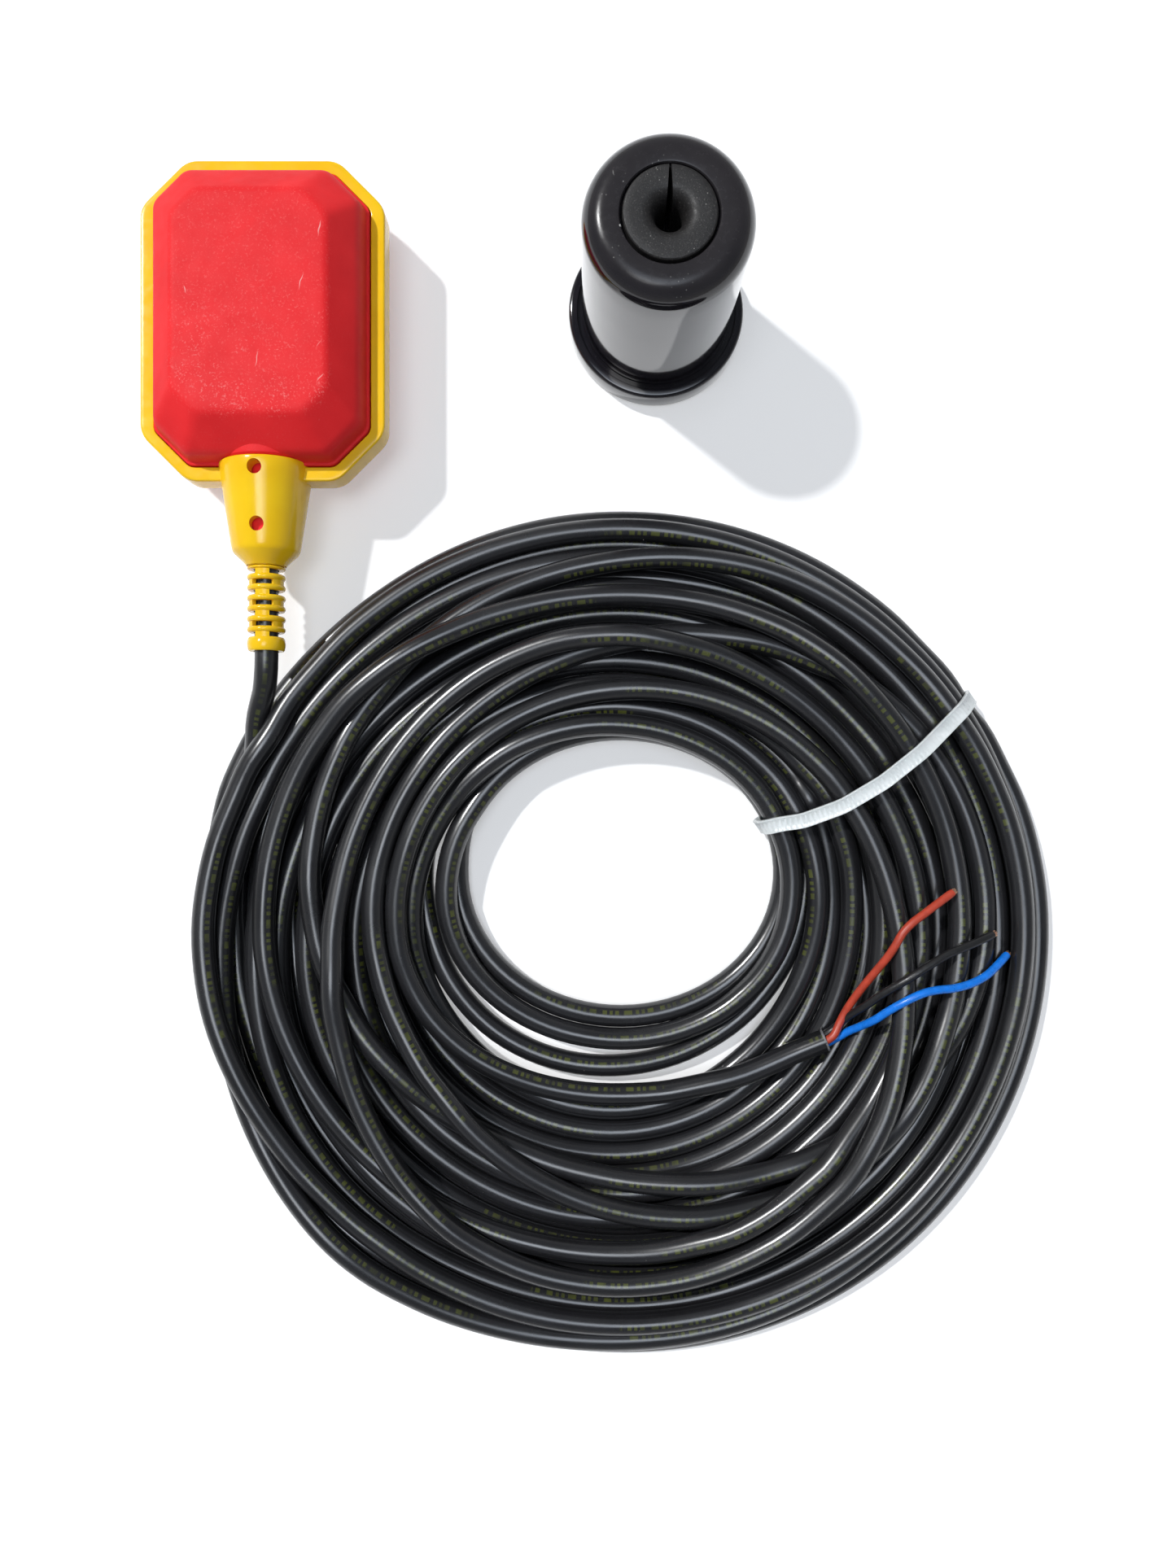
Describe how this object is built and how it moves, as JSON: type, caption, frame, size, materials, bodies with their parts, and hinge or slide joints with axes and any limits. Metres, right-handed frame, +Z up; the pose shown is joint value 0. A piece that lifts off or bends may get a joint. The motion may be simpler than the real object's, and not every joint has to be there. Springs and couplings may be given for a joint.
{
  "type": "cable float switch",
  "caption": "Level float switch: red octagonal float in a yellow seam frame, conical cable gland, slotted strain relief, coiled black cable with bare cores, cable tie and counterweight.",
  "frame": {"origin": "middle of the float's flat underside, on the surface it rests on", "axes": "+Z up out of the resting surface, +Y towards the float's nose, the cable leaves towards -Y"},
  "size_m": [0.302, 0.3959, 0.076],
  "materials": {
    "red_shell": "satin moulded, fine whitish scuffs",
    "yellow_moulding": "gloss",
    "carrier": "matte",
    "seal_rubber": "matte",
    "resin": "cast",
    "steel": "bright",
    "switch_case": "satin",
    "plunger": "gloss",
    "terminal": "tinned",
    "brown_core": "satin",
    "black_core": "satin",
    "blue_core": "satin",
    "cable_jacket": "semi-gloss with light dust",
    "nylon": "translucent, finely ribbed",
    "weight_plastic": "gloss",
    "weight_rubber": "matte",
    "iron": "as cast"
  },
  "bodies": {
    "root": {"float_shell_top": "red_shell", "float_shell_bottom": "red_shell", "frame_and_gland": "yellow_moulding", "strain_relief": "yellow_moulding", "cable_clamp": "carrier", "cable_seal": "seal_rubber", "potting_resin": "resin", "ball_chamber": "carrier", "switch_frame": "carrier", "switch_cover": "carrier", "lever_pin": "steel", "microswitch_body": "switch_case", "microswitch_terminal_common": "terminal", "microswitch_terminal_open": "terminal", "microswitch_terminal_closed": "terminal", "microswitch_pin_upper": "steel", "microswitch_pin_lower": "steel", "carrier_screw_left": "steel", "carrier_screw_right": "steel", "inner_core_brown": "brown_core", "inner_core_black": "black_core", "inner_core_blue": "blue_core", "cable_lead": "cable_jacket", "cable_coil": "cable_jacket", "cable_tail": "cable_jacket", "tail_core_brown": "brown_core", "tail_core_black": "black_core", "tail_core_blue": "blue_core", "cable_tie": "nylon", "weight_shell": "weight_plastic", "weight_base": "weight_plastic", "weight_bush": "weight_rubber", "weight_slug": "iron"},
    "ball": {"tilt_ball": "steel"},
    "lever": {"ball_lever": "carrier"},
    "plunger": {"microswitch_plunger": "plunger"}
  },
  "joints": [
    {"name": "ball_travel", "type": "slide", "parent": "root", "child": "ball", "axis": [0, -1, 0], "range_m": [0, 0.013]},
    {"name": "lever_tilt", "type": "hinge", "parent": "root", "child": "lever", "pos_m": [0, -0.00115, 0.0325], "axis": [-1, 0, 0], "range_deg": [0, 8]},
    {"name": "plunger_press", "type": "slide", "parent": "root", "child": "plunger", "axis": [0, -1, 0], "range_m": [0, 0.0008]}
  ],
  "couplings": [
    {"joint": "lever_tilt", "follows": "ball_travel", "rad_per_m": 10.5},
    {"joint": "plunger_press", "follows": "ball_travel", "ratio": 0.06}
  ]
}
